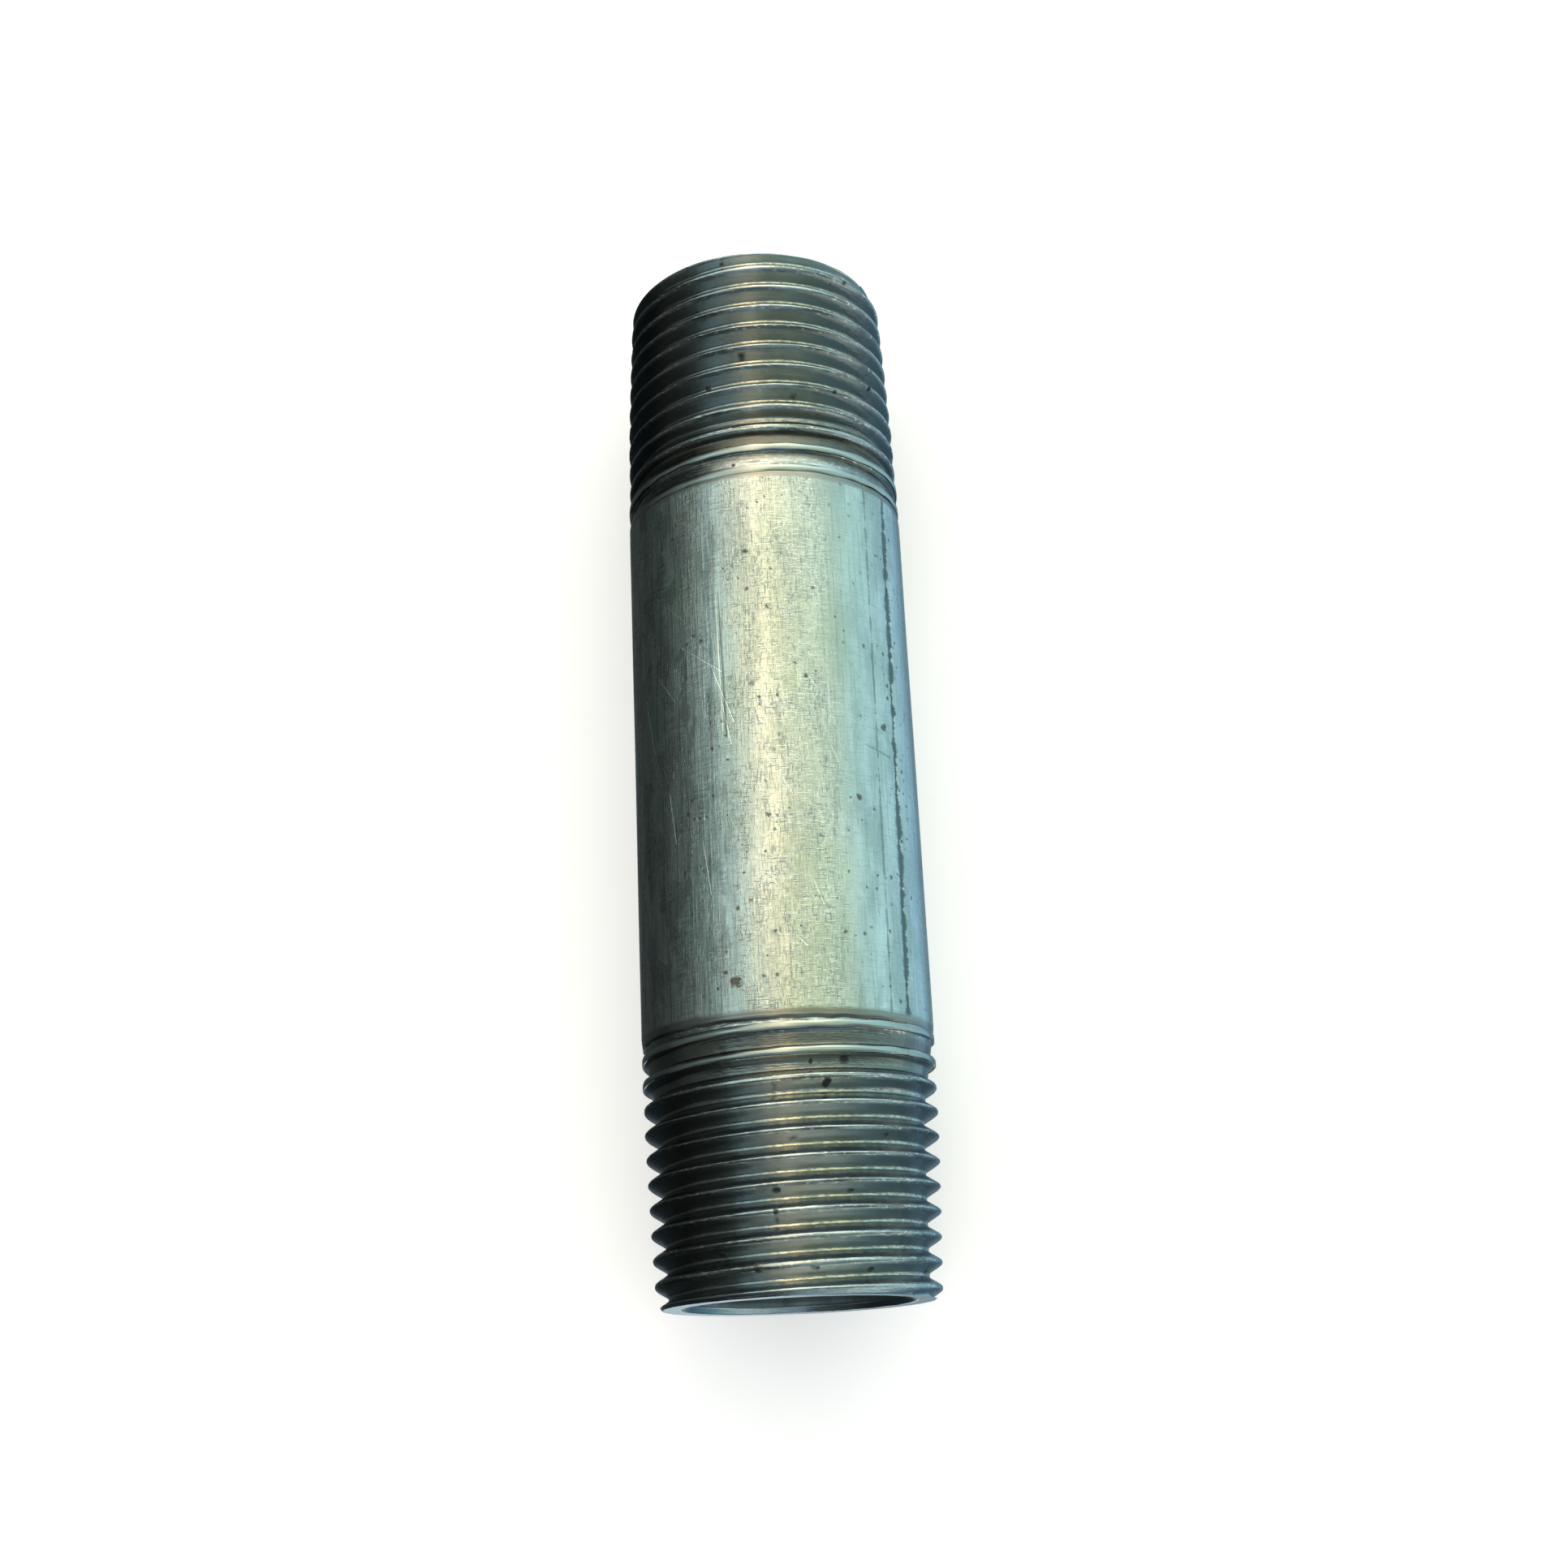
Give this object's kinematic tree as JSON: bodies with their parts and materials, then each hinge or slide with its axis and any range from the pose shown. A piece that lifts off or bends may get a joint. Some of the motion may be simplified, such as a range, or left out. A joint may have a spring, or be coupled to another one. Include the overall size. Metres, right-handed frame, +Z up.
{
  "type": "threaded pipe nipple",
  "caption": "Short length of galvanised steel pipe with a taper pipe thread on each end and a plain barrel between them; joins two threaded fittings.",
  "frame": {"origin": "middle of the pipe, on its axis, half way between the two end faces", "axes": "+Y along the pipe's axis from the near end to the far end, +Z up as the nipple lies on its side, +X across; the weld seam lies 56 degrees round from +Z towards +X"},
  "size_m": [0.0172, 0.0636, 0.0172],
  "materials": {
    "cut_steel": "freshly cut steel, darkened by cutting oil, with bright edges",
    "weld_steel": "fused steel, slightly darker than the strip",
    "outside_zinc": "hot-dip zinc, semi-gloss, streaked and scratched",
    "bore_zinc": "hot-dip zinc, dull and rough"
  },
  "bodies": {
    "root": {"rolled_strip": "cut_steel", "weld_seam": "weld_steel", "zinc_coat_outside": "outside_zinc", "zinc_coat_bore": "bore_zinc"}
  },
  "joints": []
}
